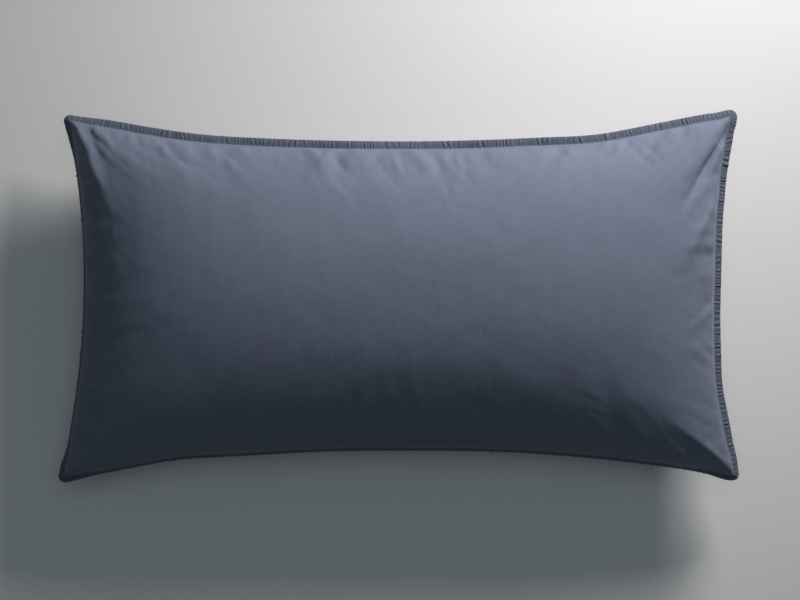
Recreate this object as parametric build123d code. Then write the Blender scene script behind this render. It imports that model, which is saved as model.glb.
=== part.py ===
"""A king-size bed pillow: a three-chamber down insert inside a stitched cotton case.

Millimetres, +Z up. The pillow lies on its back panel. X runs along its length and Y across it.
The origin is the centre of the footprint, on the surface that the pillow lies on.

Every layer is a dome above and a dome below one seam plane, and the bottom dome is flattened where the
pillow lies. A dome stands on a four-sided outline whose sides pull in between the corners. A layer's depth
is how far it lies inside the case's outer face. Cloth is drawn thicker than it is, so that each ply is a
solid of its own.
"""

import math
import os

from build123d import *

os.makedirs("parts", exist_ok=True)

# Outline of the case, at the outer edge of its flange
CASE_LENGTH = 904.0  # between the corner tips, before they are rounded
CASE_WIDTH = 496.0
PULL_IN_BACK = 46.0  # the +Y long side, at mid length
PULL_IN_FRONT = 41.0  # the -Y long side
PULL_IN_LEFT = 29.0  # the -X end
PULL_IN_RIGHT = 28.0  # the +X end
CASE_CORNER = 7.0  # radius of a corner at the outer edge; it shrinks inwards

# Heights
SEAM_HEIGHT = 74.0  # seam plane above the surface that the pillow lies on
CROWN_RISE = 112.0  # top dome above the seam plane
BELLY_DROP = 100.0  # bottom dome below it, before the surface flattens it
END_POWER = 4.0  # a high power keeps the dome full towards the two ends
SIDE_POWER = 2.0

# Case cloth
CLOTH = 0.8
FLANGE_WIDTH = 10.0
WALL_INSET = 1.5  # a wall is this many times thicker sideways than it is at the crown
HEM_WIDTH = 25.0
PANEL_HEM_X = 215.0  # free edge of the long back panel
FLAP_HEM_X = 60.0  # free edge of the short flap tucked under it
FLAP_DEPTH = 2.0
PLY_GAP = 0.3

# Thread
THREAD_WIDTH = 0.7
THREAD_PROUD = 0.4
THREAD_SUNK = 0.3
THREAD_FIT = 0.05
TOPSTITCH_INSET = 8.7
EDGE_SEAM_INSET = 1.5
HEM_STITCH_FROM_EDGE = 22.0
INSERT_SEAM_INSET = 22.5

# Insert: ticking, piping, inner sheets and filling
TICKING = 0.7
TICKING_INSET = 20.0
TICKING_DEPTH = 4.0
SEAM_ALLOWANCE = 4.6
SEAM_GAP = 0.35  # half the room that the two ticking panels leave for the piping's tail
INSERT_CORNER = 34.0  # as for the case, so the ticking's own corner is 14 mm
PIPING_RADIUS = 2.0
PIPING_CORD_RADIUS = 1.3
PIPING_TAIL = 0.6
SHEET = 0.6
SHEET_INSET = 24.0
SHEET_RISE = 69.0
SHEET_DROP = 54.0
CLEARANCE = 0.3
CORE_GROOVE = 0.5  # depth and half height of the dent that the insert's seam leaves round the core

# Labels
LABEL = 0.4
CASE_LABEL_SIZE = (58.0, 36.0)
CASE_LABEL_CENTRE = (160.0, -60.0)
CASE_LABEL_HEIGHT = 1.0
INSERT_LABEL_SIZE = (60.0, 40.0)
INSERT_LABEL_CENTRE = (-260.0, 80.0)
INSERT_LABEL_HEIGHT = 3.3

# Points of each dome's grid, closer together towards the seam
GRID_ALONG = 41
GRID_ACROSS = 31

BEYOND = 2.0 * CASE_LENGTH  # larger than the pillow, for cutting blocks
SEAM_PLANE = Plane.XY.offset(SEAM_HEIGHT)


def side_circle(half_chord, half_span, sagitta):
    """The circle of a pulled-in side: how far out its centre lies, and its radius."""
    radius = (half_chord**2 + sagitta**2) / (2 * sagitta)
    return half_span - sagitta + radius, radius


# Each side's circle by the direction it faces: (x sign, y sign)
SIDES = {
    (-1, 0): side_circle(CASE_WIDTH / 2, CASE_LENGTH / 2, PULL_IN_LEFT),
    (1, 0): side_circle(CASE_WIDTH / 2, CASE_LENGTH / 2, PULL_IN_RIGHT),
    (0, -1): side_circle(CASE_LENGTH / 2, CASE_WIDTH / 2, PULL_IN_FRONT),
    (0, 1): side_circle(CASE_LENGTH / 2, CASE_WIDTH / 2, PULL_IN_BACK),
}


def side_point(facing, along, inset):
    """The point of a side's inset curve at a distance along it from the axis."""
    centre, radius = SIDES[facing]
    out = centre - math.sqrt((radius + inset) ** 2 - along**2)
    return (facing[0] * out, along) if facing[0] else (along, facing[1] * out)


def corner_point(x_sign, y_sign, inset):
    """Where the inset curves of two neighbouring sides meet."""
    end_centre, end_radius = SIDES[(x_sign, 0)]
    long_centre, long_radius = SIDES[(0, y_sign)]
    end_square, long_square = (end_radius + inset) ** 2, (long_radius + inset) ** 2
    slope = end_centre / long_centre
    start = (end_square - long_square - end_centre**2 + long_centre**2) / (2 * long_centre)
    square, linear = 1 + slope**2, 2 * (start * slope - end_centre)
    constant = end_centre**2 + start**2 - end_square
    x = (-linear - math.sqrt(linear**2 - 4 * square * constant)) / (2 * square)
    return x_sign * x, y_sign * (start + slope * x)


def blend(low, high, share):
    return low + (high - low) * share


def outline_point(u, v, inset):
    """The plan position of (u, v), each from -1 to 1, on the patch inside an inset outline."""
    s, t = (u + 1) / 2, (v + 1) / 2
    corners = {(x, y): corner_point(x, y, inset) for x in (-1, 1) for y in (-1, 1)}
    front, back = (
        side_point((0, y), blend(corners[(-1, y)][0], corners[(1, y)][0], s), inset)
        for y in (-1, 1)
    )
    left, right = (
        side_point((x, 0), blend(corners[(x, -1)][1], corners[(x, 1)][1], t), inset)
        for x in (-1, 1)
    )
    plan = []
    for axis in (0, 1):
        low = blend(corners[(-1, -1)][axis], corners[(1, -1)][axis], s)
        high = blend(corners[(-1, 1)][axis], corners[(1, 1)][axis], s)
        between_long = blend(front[axis], back[axis], t)
        between_ends = blend(left[axis], right[axis], s)
        plan.append(between_long + between_ends - blend(low, high, t))
    return tuple(plan)


def outline(inset, corner, z):
    """The flat face inside an outline, whose corners are concentric with those at its outer edge."""
    turns = [(-1, -1), (1, -1), (1, 1), (-1, 1)]
    corners = [corner_point(*turn, inset) for turn in turns]
    middles = [side_point(facing, 0.0, inset) for facing in ((0, -1), (1, 0), (0, 1), (-1, 0))]
    sides = [
        Edge.make_three_point_arc(start, middle, end)
        for start, middle, end in zip(corners, middles, corners[1:] + corners[:1])
    ]
    sharp = Face(Wire(sides))
    radius = max(corner - inset, 1.0)
    return Pos(0, 0, z) * sharp.fillet_2d(radius, sharp.vertices())


def fullness(t, power):
    """Height of a dome's section at t, as a share of its rise."""
    return math.sqrt(max(0.0, 1 - abs(t) ** power))


def spread(count):
    """Values from -1 to 1, closer together towards both ends."""
    inner = [math.sin(math.pi * (i / (count - 1) - 0.5)) for i in range(1, count - 1)]
    return [-1.0, *inner, 1.0]


def dome_skin(inset, rise, base):
    """The curved face of a dome whose rim lies in the plane z = base."""
    rows = []
    for v in spread(GRID_ACROSS):
        row = []
        for u in spread(GRID_ALONG):
            height = rise * fullness(u, END_POWER) * fullness(v, SIDE_POWER)
            row.append((*outline_point(u, v, inset), base + height))
        rows.append(row)
    return Face.make_surface_from_array_of_points(rows)


def ring_face(outside, inside):
    """The flat face between two closed rims of the same height."""
    return Face(outside, [inside])


def upper_skin(inset, rise, gap):
    """The faces of a top dome that starts gap above the seam plane, and its rim."""
    skin = dome_skin(inset, rise - gap, SEAM_HEIGHT + gap)
    return [skin], Wire(skin.edges())


def lower_skin(inset, drop, gap, floor):
    """The faces of a dome that hangs gap below the seam plane and is flattened at z = floor."""
    skin = dome_skin(inset, drop - gap, SEAM_HEIGHT + gap)
    rim = Wire(skin.edges())
    hanging = mirror(Solid(Shell([skin, Face(rim)])), about=SEAM_PLANE)
    flattened = hanging - block(-BEYOND, BEYOND, -BEYOND, floor)
    faces = flattened.faces().sort_by(Axis.Z)[:-1]
    top_rim = flattened.faces().sort_by(Axis.Z)[-1].outer_wire()
    return faces, top_rim


def closed(*faces):
    """A solid from the faces round it."""
    return Solid(Shell(faces))


def layer(outer, inner):
    """The solid between two skins that start at the same height."""
    return closed(*outer[0], *inner[0], ring_face(outer[1], inner[1]))


def cloth(outer, inner, edge_inset, corner, z_outer, z_inner):
    """A ply of cloth between two skins, whose edge is a flat band out to or in to edge_inset.

    The outer skin starts at z_outer and the inner one at z_inner, one ply apart.
    """
    edge = slab(edge_inset, corner, min(z_outer, z_inner), max(z_outer, z_inner))
    walls = [face for face in edge.faces() if abs(face.normal_at().Z) < 0.5]
    bands = []
    for z, rim in ((z_outer, outer[1]), (z_inner, inner[1])):
        edge_rim = outline(edge_inset, corner, z).outer_wire()
        if edge_inset < FLANGE_WIDTH:
            bands.append(ring_face(edge_rim, rim))
        else:
            bands.append(ring_face(rim, edge_rim))
    return closed(*outer[0], *inner[0], *bands, *walls)


def case_lower_skin(depth, gap):
    """The lower half of the case's skin at a depth."""
    return lower_skin(FLANGE_WIDTH + WALL_INSET * depth, BELLY_DROP - depth, gap, depth)


def block(x_low, x_high, z_low, z_high):
    """A block across the whole width, for cutting."""
    size = (x_high - x_low, BEYOND, z_high - z_low)
    return Pos((x_low + x_high) / 2, 0, (z_low + z_high) / 2) * Box(*size)


def slab(inset, corner, z_low, z_high):
    """A plate of an outline's shape."""
    return extrude(outline(inset, corner, z_low), z_high - z_low, dir=(0, 0, 1))


def ring(inset, width, corner, z_low, z_high):
    """A flat band that follows an outline inwards from inset."""
    hole = slab(inset + width, corner, z_low - 1, z_high + 1)
    return slab(inset, corner, z_low, z_high) - hole


def bead(inset, radius):
    """A round cord that follows an outline in the seam plane."""
    path = outline(inset, INSERT_CORNER, SEAM_HEIGHT).outer_wire()
    start = path.edges().sort_by(SortBy.LENGTH)[-1]
    profile = Plane(origin=start @ 0.5, z_dir=start % 0.5) * Circle(radius)
    return sweep(profile, path=path)


def plate(size, centre, z_low):
    """A flat label."""
    return Pos(*centre, z_low + LABEL / 2) * Box(*size, LABEL)


def front_panel():
    outer = upper_skin(FLANGE_WIDTH, CROWN_RISE, CLOTH)
    inner = upper_skin(FLANGE_WIDTH + WALL_INSET * CLOTH, CROWN_RISE - CLOTH, 0.0)
    return cloth(outer, inner, 0.0, CASE_CORNER, SEAM_HEIGHT + CLOTH, SEAM_HEIGHT)


def back_cloth(depth, plies, x_low, x_high):
    """Part of a back panel at a depth, with its part of the flange."""
    outer = case_lower_skin(depth, CLOTH)
    inner = case_lower_skin(depth + plies * CLOTH, 0.0)
    whole = cloth(outer, inner, 0.0, CASE_CORNER, SEAM_HEIGHT - CLOTH, SEAM_HEIGHT)
    return whole & block(x_low, x_high, -BEYOND, BEYOND)


def hem_line(edge_x, inwards):
    """The strip across the pillow that a hem's stitching runs along."""
    x_low = edge_x + inwards * HEM_STITCH_FROM_EDGE
    return block(x_low, x_low + THREAD_WIDTH, -BEYOND, SEAM_HEIGHT - 2 * CLOTH)


def hem_groove(edge_x, depth, inwards):
    faces, rim = case_lower_skin(depth + THREAD_SUNK, 0.0)
    return hem_line(edge_x, inwards) - closed(*faces, Face(rim))


def hem_thread(edge_x, depth, inwards):
    """The line of stitching along a hem, sunk in the cloth's lower face."""
    outer = case_lower_skin(depth + THREAD_SUNK / 3, 0.0)
    inner = case_lower_skin(depth + THREAD_SUNK, 0.0)
    return layer(outer, inner) & hem_line(edge_x, inwards)


def edge_seam_groove():
    bottom = SEAM_HEIGHT - THREAD_SUNK
    return ring(EDGE_SEAM_INSET, THREAD_WIDTH, CASE_CORNER, bottom, SEAM_HEIGHT + 1)


def edge_seam_thread():
    """The thread that joins the two flange plies, in a groove of the lower one."""
    return ring(
        EDGE_SEAM_INSET + THREAD_FIT,
        THREAD_WIDTH - 2 * THREAD_FIT,
        CASE_CORNER,
        SEAM_HEIGHT - THREAD_SUNK,
        SEAM_HEIGHT - THREAD_FIT,
    )


def topstitch(z_low):
    """The row of stitching that sets the flange off from the body of the case."""
    return ring(TOPSTITCH_INSET, THREAD_WIDTH, CASE_CORNER, z_low, z_low + THREAD_PROUD)


def back_panel():
    """The long back panel: one ply, and two along its hem."""
    hem_start = PANEL_HEM_X - HEM_WIDTH
    panel = back_cloth(0.0, 1, -BEYOND, hem_start) + back_cloth(0.0, 2, hem_start, PANEL_HEM_X)
    return panel - hem_groove(PANEL_HEM_X, 0.0, -1) - edge_seam_groove()


def back_flap():
    """The short flap that the long panel's hem lies over. It has a flange only beyond that hem."""
    hem_end = FLAP_HEM_X + HEM_WIDTH
    flap = back_cloth(FLAP_DEPTH, 2, FLAP_HEM_X, hem_end)
    flap += back_cloth(FLAP_DEPTH, 1, hem_end, BEYOND)
    flange_root = FLANGE_WIDTH + WALL_INSET * FLAP_DEPTH - PLY_GAP
    under_panel = block(-BEYOND, PANEL_HEM_X + PLY_GAP, -BEYOND, BEYOND)
    flap -= under_panel - slab(flange_root, CASE_CORNER, -1, SEAM_HEIGHT + 1)
    return flap - hem_groove(FLAP_HEM_X, FLAP_DEPTH, 1) - edge_seam_groove()


def rounded(solid, inset):
    """Trims a part of the insert to its rounded corners."""
    return solid & slab(inset - CLEARANCE, INSERT_CORNER, -1, SEAM_HEIGHT + CROWN_RISE + 1)


def ticking_panel(outer, inner, side):
    """A ticking panel above (side 1) or below (side -1) the seam, with its seam allowance."""
    z_outer = SEAM_HEIGHT + side * SEAM_GAP
    edge_inset = TICKING_INSET + SEAM_ALLOWANCE
    panel = cloth(outer, inner, edge_inset, INSERT_CORNER, z_outer, z_outer + side * TICKING)
    return rounded(panel, TICKING_INSET)


def ticking_top():
    rise = CROWN_RISE - TICKING_DEPTH
    outer = upper_skin(TICKING_INSET, rise, SEAM_GAP)
    inner = upper_skin(TICKING_INSET + WALL_INSET * TICKING, rise - TICKING, SEAM_GAP + TICKING)
    return ticking_panel(outer, inner, 1)


def ticking_bottom():
    drop = BELLY_DROP - TICKING_DEPTH
    inner_inset = TICKING_INSET + WALL_INSET * TICKING
    inner_floor = TICKING_DEPTH + TICKING
    outer = lower_skin(TICKING_INSET, drop, SEAM_GAP, TICKING_DEPTH)
    inner = lower_skin(inner_inset, drop - TICKING, SEAM_GAP + TICKING, inner_floor)
    return ticking_panel(outer, inner, -1)


def piping_cover(cord_inset):
    """The sleeve round the piping cord, and the tail that the ticking's seam holds."""
    sleeve = bead(cord_inset, PIPING_RADIUS) - bead(cord_inset, PIPING_CORD_RADIUS + THREAD_FIT)
    tail_start = cord_inset + (PIPING_RADIUS + PIPING_CORD_RADIUS) / 2
    tail_width = TICKING_INSET + SEAM_ALLOWANCE - tail_start
    top = SEAM_HEIGHT + PIPING_TAIL / 2
    tail = ring(tail_start, tail_width, INSERT_CORNER, top - PIPING_TAIL, top)
    groove = ring(INSERT_SEAM_INSET, THREAD_WIDTH, INSERT_CORNER, top - THREAD_SUNK, top + 1)
    return sleeve + tail - groove


def insert_seam_thread():
    """The thread that closes the insert, in a groove of the piping's tail."""
    top = SEAM_HEIGHT + PIPING_TAIL / 2
    start = INSERT_SEAM_INSET + THREAD_FIT
    return ring(start, THREAD_WIDTH - 2 * THREAD_FIT, INSERT_CORNER, top - THREAD_SUNK, top)


def chambers():
    """The down above and below, the two sheets that hold it apart, and the feather core."""
    gap = SEAM_GAP + TICKING + THREAD_FIT
    down_inset = TICKING_INSET + WALL_INSET * (TICKING + CLEARANCE)
    down_depth = TICKING_DEPTH + TICKING + CLEARANCE
    hollow_inset = SHEET_INSET - CLEARANCE
    sheet_inner = SHEET_INSET + WALL_INSET * SHEET
    core_inset = sheet_inner + CLEARANCE

    top_down = layer(
        upper_skin(down_inset, CROWN_RISE - down_depth, gap),
        upper_skin(hollow_inset, SHEET_RISE + CLEARANCE, gap),
    )
    bottom_down = layer(
        lower_skin(down_inset, BELLY_DROP - down_depth, gap, down_depth),
        lower_skin(hollow_inset, SHEET_DROP + CLEARANCE, gap, down_depth),
    )
    top_sheet = layer(
        upper_skin(SHEET_INSET, SHEET_RISE, gap),
        upper_skin(sheet_inner, SHEET_RISE - SHEET, gap),
    )
    bottom_sheet = layer(
        lower_skin(SHEET_INSET, SHEET_DROP, gap, down_depth),
        lower_skin(sheet_inner, SHEET_DROP - SHEET, gap, down_depth),
    )
    core_skins = (
        upper_skin(core_inset, SHEET_RISE - SHEET - CLEARANCE, CORE_GROOVE),
        lower_skin(core_inset, SHEET_DROP - SHEET - CLEARANCE, CORE_GROOVE, down_depth),
    )
    low, high = SEAM_HEIGHT - CORE_GROOVE, SEAM_HEIGHT + CORE_GROOVE
    core = slab(core_inset + 2 * CORE_GROOVE, INSERT_CORNER, low, high)
    for faces, rim in core_skins:
        core += rounded(closed(*faces, Face(rim)), core_inset)
    return {
        "top_down_layer": rounded(top_down, down_inset),
        "bottom_down_layer": rounded(bottom_down, down_inset),
        "chamber_top_sheet": rounded(top_sheet, SHEET_INSET),
        "chamber_bottom_sheet": rounded(bottom_sheet, SHEET_INSET),
        "feather_core": core,
    }


cord_inset = TICKING_INSET - PIPING_RADIUS - CLEARANCE - 2 * THREAD_FIT
nodes = {
    "case_front_panel": front_panel(),
    "case_back_panel": back_panel(),
    "case_back_flap": back_flap(),
    "case_topstitch_front": topstitch(SEAM_HEIGHT + CLOTH),
    "case_topstitch_back": topstitch(SEAM_HEIGHT - CLOTH - THREAD_PROUD),
    "case_edge_seam_thread": edge_seam_thread(),
    "case_panel_hem_thread": hem_thread(PANEL_HEM_X, 0.0, -1),
    "case_flap_hem_thread": hem_thread(FLAP_HEM_X, FLAP_DEPTH, 1),
    "case_care_label": plate(CASE_LABEL_SIZE, CASE_LABEL_CENTRE, CASE_LABEL_HEIGHT),
    "ticking_top_panel": ticking_top(),
    "ticking_bottom_panel": ticking_bottom(),
    "piping_cord": bead(cord_inset, PIPING_CORD_RADIUS),
    "piping_cover": piping_cover(cord_inset),
    "insert_seam_thread": insert_seam_thread(),
    "insert_label": plate(INSERT_LABEL_SIZE, INSERT_LABEL_CENTRE, INSERT_LABEL_HEIGHT),
    **chambers(),
}
for name, solid in nodes.items():
    export_step(solid, f"parts/{name}.step")
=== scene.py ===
"""Looks for a king-size bed pillow in a slate blue-grey percale case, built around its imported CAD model.

Metres, in the CAD frame: +X along the pillow, +Y across it, +Z up, origin under the middle.
Both case panels start as flat cloth, sewn together along a seam that stays on its line, and a cloth
simulation inflates them. They are then given their flange, thickness, hems and stitches. The insert's layers
follow the simulated shape inwards.
"""

import math

import bpy
import numpy as np
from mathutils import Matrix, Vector


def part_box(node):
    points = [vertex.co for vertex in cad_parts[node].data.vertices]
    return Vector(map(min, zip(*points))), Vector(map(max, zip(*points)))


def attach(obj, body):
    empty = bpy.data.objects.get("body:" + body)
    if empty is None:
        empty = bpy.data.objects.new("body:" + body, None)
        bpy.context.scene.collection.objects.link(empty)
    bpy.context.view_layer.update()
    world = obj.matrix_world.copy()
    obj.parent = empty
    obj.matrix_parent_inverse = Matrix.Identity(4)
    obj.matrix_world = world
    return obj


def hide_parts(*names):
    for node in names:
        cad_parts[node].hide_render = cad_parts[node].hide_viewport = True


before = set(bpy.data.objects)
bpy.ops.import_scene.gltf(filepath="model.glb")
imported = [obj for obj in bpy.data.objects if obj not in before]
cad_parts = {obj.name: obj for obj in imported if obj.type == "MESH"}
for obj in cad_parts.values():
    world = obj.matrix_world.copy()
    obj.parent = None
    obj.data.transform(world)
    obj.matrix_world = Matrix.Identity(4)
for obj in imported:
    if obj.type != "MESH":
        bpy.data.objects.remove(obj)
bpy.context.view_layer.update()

MM = 0.001
TINY = 1e-12
UP = np.array([0.0, 0.0, 1.0])
LEFT, RIGHT, FRONT, BACK = (-1, 0), (1, 0), (0, -1), (0, 1)

# The case's outline, as in the CAD
LENGTH, WIDTH = 904 * MM, 496 * MM
PULL_IN = {BACK: 46 * MM, FRONT: 41 * MM, LEFT: 29 * MM, RIGHT: 28 * MM}
SEAM_Z = 74 * MM
CROWN = 112 * MM
BELLY = 100 * MM
PANEL_HEM_X, FLAP_HEM_X, HEM = 215 * MM, 60 * MM, 25 * MM

# The flange: how wide it is, and how wide it looks from above, where it droops, by side and by corner
FLANGE = 10.8 * MM
SEEN_FLANGE = {BACK: 10.6 * MM, RIGHT: 9.6 * MM, FRONT: 4.0 * MM, LEFT: 3.6 * MM}
CORNER_FLANGE = {(-1, -1): 9.0 * MM, (1, -1): 8.5 * MM, (1, 1): 9.9 * MM, (-1, 1): 8.0 * MM}
# Where the filling pushes a side out from its arc or lets it in: place along it, spread, and how far in mm
SWAY = {
    BACK: [(-0.05, 0.38, 3.8), (-0.63, 0.17, -2.0), (0.6, 0.15, -4.4)],
    RIGHT: [(0.15, 0.3, 3.0), (-0.5, 0.16, -2.5), (-0.9, 0.1, 2.0)],
    FRONT: [(-0.66, 0.15, -4.5), (0.05, 0.25, 1.8)],
    LEFT: [],
}
# How far the corner tips lie from the CAD's, because the filling has shifted
TIP_SHIFT = {(-1, 1): (9 * MM, -6 * MM), (1, 1): (-2 * MM, 0.0), (1, -1): (0.0, 4 * MM), (-1, -1): (0.0, 0.0)}
# The cloth is drawn in at the front left tip, so that more of the flange shows: how far, and how far round it
DRAWN_IN, DRAWN_REACH = (4 * MM, 3 * MM), 55 * MM

# Cloth
CUT_X, CUT_Y = 906 * MM, 500 * MM  # the cloth from seam to seam before it is filled
SIM_X, SIM_Y = 180, 98
FINE_X, FINE_Y = 288, 124
CROWDING = 0.25  # how much closer together the fine grid's lines are at the seam
SIM_FRAMES = 16
CLOTH = 0.5 * MM
WELT = 1.1 * MM  # half the thickness of the flange
PLY_GAP = 0.05 * MM
CLOTH_SETTINGS = dict(
    quality=5, mass=0.05, use_pressure=True, uniform_pressure_force=6, vertex_group_mass="seam",
    tension_stiffness=80, compression_stiffness=80, shear_stiffness=20, bending_stiffness=0.01,
    tension_damping=1, compression_damping=1, shear_damping=1,
)

# ---------------- arrays and meshes


def blend(low, high, share):
    return low + (high - low) * share


def unit(vectors):
    return vectors / np.maximum(np.linalg.norm(vectors, axis=-1, keepdims=True), TINY)


def run_along(path):
    """How far along an open path each of its points lies."""
    return np.concatenate([[0], np.cumsum(np.linalg.norm(np.diff(path, axis=0), axis=1))])


def at_runs(at, run, values):
    """Vectors given at each point of a path, read between those points."""
    return np.stack([np.interp(at, run, values[:, k]) for k in range(3)], 1)


def even(cells):
    return np.linspace(-1, 1, cells + 1)


def stacked(*grids):
    """The points, or the cells, of several grids in one list."""
    return np.concatenate([grid.reshape(-1, grid.shape[-1]) for grid in grids])


def grid_of(u, v):
    return np.meshgrid(u, v, indexing="ij")


def numbered(nx, ny, first=0):
    return first + np.arange(nx * ny).reshape(nx, ny)


def cells_of(ids):
    """The four corners of each cell in a grid of vertex numbers."""
    return np.stack([ids[:-1, :-1], ids[1:, :-1], ids[1:, 1:], ids[:-1, 1:]], -1)


def rim_of(grid):
    """A grid's outer points, once round it."""
    return np.concatenate([grid[:, 0], grid[-1, 1:], grid[-2::-1, -1], grid[0, -2:0:-1]])


def grid_normals(grid, side):
    return unit(np.cross(np.gradient(grid, axis=0), np.gradient(grid, axis=1)) * side)


def mesh_object(name, verts, faces, raised=0.0):
    mesh = bpy.data.meshes.new(name)
    verts = np.asarray(verts) + UP * raised
    mesh.from_pydata(verts.tolist(), [], [list(map(int, f)) for f in faces])
    obj = bpy.data.objects.new(name, mesh)
    bpy.context.scene.collection.objects.link(obj)
    return obj


def smooth_object(name, verts, faces, raised=SEAM_Z):
    obj = mesh_object(name, verts, faces, raised)
    obj.data.shade_smooth()
    return obj


def set_attribute(mesh, name, values):
    values = np.asarray(values, np.float32)
    kind, field = ("FLOAT_VECTOR", "vector") if values.ndim == 2 else ("FLOAT", "value")
    attribute = mesh.attributes.new(name, kind, "POINT")
    attribute.data.foreach_set(field, values.ravel())


def resampled(grid, places, axis):
    """The grid at other places, from -1 to 1 along an axis, by smooth interpolation."""
    grid = np.moveaxis(grid, axis, 0)
    old = len(grid) - 1
    at = (places + 1) / 2 * old
    i = np.minimum(at.astype(int), old - 1)
    f = (at - i)[:, None, None]
    first, last = 2 * grid[:1] - grid[1:2], 2 * grid[-1:] - grid[-2:-1]
    padded = np.concatenate([first, grid, last])
    a, b, c, d = padded[i], padded[i + 1], padded[i + 2], padded[i + 3]
    bent = 2 * a - 5 * b + 4 * c - d + f * (3 * (b - c) + d - a)
    return np.moveaxis(b + 0.5 * f * (c - a + f * bent), 0, axis)


def regridded(grid, places_x, places_y):
    return resampled(resampled(grid, places_x, 0), places_y, 1)


def smoothed(grid, passes):
    grid = grid.copy()
    for _ in range(passes):
        around = grid[:-2, 1:-1] + grid[2:, 1:-1] + grid[1:-1, :-2] + grid[1:-1, 2:]
        grid[1:-1, 1:-1] = 0.5 * grid[1:-1, 1:-1] + 0.125 * around
    return grid


def ripple(rng, x, y, count, shortest, longest):
    """A smooth random field of about unit height, from waves of many directions."""
    field = np.zeros_like(x)
    for _ in range(count):
        angle, start = rng.uniform(0, math.pi), rng.uniform(0, 2 * math.pi)
        wave = 2 * math.pi / rng.uniform(shortest, longest)
        field += np.sin(wave * (x * math.cos(angle) + y * math.sin(angle)) + start)
    return field / math.sqrt(count / 2)


# ---------------- outline


def side_circle(facing):
    """The arc of one side: how far its centre lies from the middle, on the far side, and its radius."""
    half_chord, half_span = (WIDTH / 2, LENGTH / 2) if facing[0] else (LENGTH / 2, WIDTH / 2)
    sagitta = PULL_IN[facing]
    radius = (half_chord**2 + sagitta**2) / (2 * sagitta)
    return half_span - sagitta + radius, radius


CIRCLES = {facing: side_circle(facing) for facing in PULL_IN}


def side_points(facing, along, inset):
    centre, radius = CIRCLES[facing]
    out = centre - np.sqrt((radius + inset[facing]) ** 2 - along**2)
    return np.stack([facing[0] * out, along] if facing[0] else [along, facing[1] * out], -1)


def corner_point(x_sign, y_sign, inset):
    """Where the arcs of an end and of a long side cross, each inset by its own amount."""
    end, long = (x_sign, 0), (0, y_sign)
    (end_centre, end_radius), (long_centre, long_radius) = CIRCLES[end], CIRCLES[long]
    end_square = (end_radius + inset[end]) ** 2
    long_square = (long_radius + inset[long]) ** 2
    slope = end_centre / long_centre
    start = (end_square - long_square - end_centre**2 + long_centre**2) / (2 * long_centre)
    square, linear = 1 + slope**2, 2 * (start * slope - end_centre)
    constant = end_centre**2 + start**2 - end_square
    x = (-linear - math.sqrt(linear**2 - 4 * square * constant)) / (2 * square)
    return np.array([x_sign * x, y_sign * (start + slope * x)])


def plan(u, v, inset):
    """Plan positions of (u, v), each from -1 to 1, inside the outline inset on each side."""
    s, t = (u + 1) / 2, (v + 1) / 2
    c = {(x, y): corner_point(x, y, inset) for x in (-1, 1) for y in (-1, 1)}
    front = side_points(FRONT, blend(c[-1, -1][0], c[1, -1][0], s), inset)
    back = side_points(BACK, blend(c[-1, 1][0], c[1, 1][0], s), inset)
    left = side_points(LEFT, blend(c[-1, -1][1], c[-1, 1][1], t), inset)
    right = side_points(RIGHT, blend(c[1, -1][1], c[1, 1][1], t), inset)
    s, t = s[..., None], t[..., None]
    corners = blend(blend(c[-1, -1], c[1, -1], s), blend(c[-1, 1], c[1, 1], s), t)
    at = blend(front, back, t) + blend(left, right, s) - corners
    for (x, y), shift in TIP_SHIFT.items():
        share = (s if x > 0 else 1 - s) * (t if y > 0 else 1 - t)
        at = at + share * np.array(shift)
    for facing, bulges in SWAY.items():
        across, along = (u, v) if facing[0] else (v, u)
        share = ((1 + across * (facing[0] + facing[1])) / 2) ** 3
        push = np.zeros_like(u)
        for place, spread, size in bulges:
            push += size * MM * np.exp(-(((along - place) / spread) ** 2))
        at = at + np.array(facing) * (share * push)[..., None]
    away = np.linalg.norm(at - c[-1, -1], axis=-1, keepdims=True)
    return at + np.array(DRAWN_IN) * np.exp(-((away / DRAWN_REACH) ** 2))


# ---------------- simulated shape


def seam_distances(u, v):
    """How far each point of the flat cloth is from the nearer end's seam and from the nearer long one."""
    return (1 - np.abs(u)) * CUT_X / 2, (1 - np.abs(v)) * CUT_Y / 2


def four_sides(u, v):
    """The back, front, right and left seams: where each counts, the place along it, distance and length."""
    from_end, from_long = (np.maximum(distance, 0) for distance in seam_distances(u, v))
    return [
        (v > 0, u * CUT_X / 2, from_long, CUT_X),
        (v <= 0, u * CUT_X / 2, from_long, CUT_X),
        (u > 0, v * CUT_Y / 2, from_end, CUT_Y),
        (u <= 0, v * CUT_Y / 2, from_end, CUT_Y),
    ]


def pucker_field(rng, along, distance, count, span, reach):
    """Random oblique creases that start at a seam and die out over the panel."""
    field = np.zeros_like(along)
    rise = np.clip(distance / (4 * MM), 0, 1) * (distance / (distance + 6 * MM))
    for _ in range(count):
        centre = rng.uniform(-0.5, 0.5) * span
        width = rng.uniform(5, 11) * MM
        skew = rng.uniform(-0.9, 0.9)
        fade = rng.uniform(0.4, 1.5) * reach
        height = rng.uniform(0.4, 1.0) * rng.choice([-1, 1])
        across = (along - centre - skew * distance) / width
        field += height * np.exp(-(across**2)) * rise * np.exp(1 - distance / fade)
    return field


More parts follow.
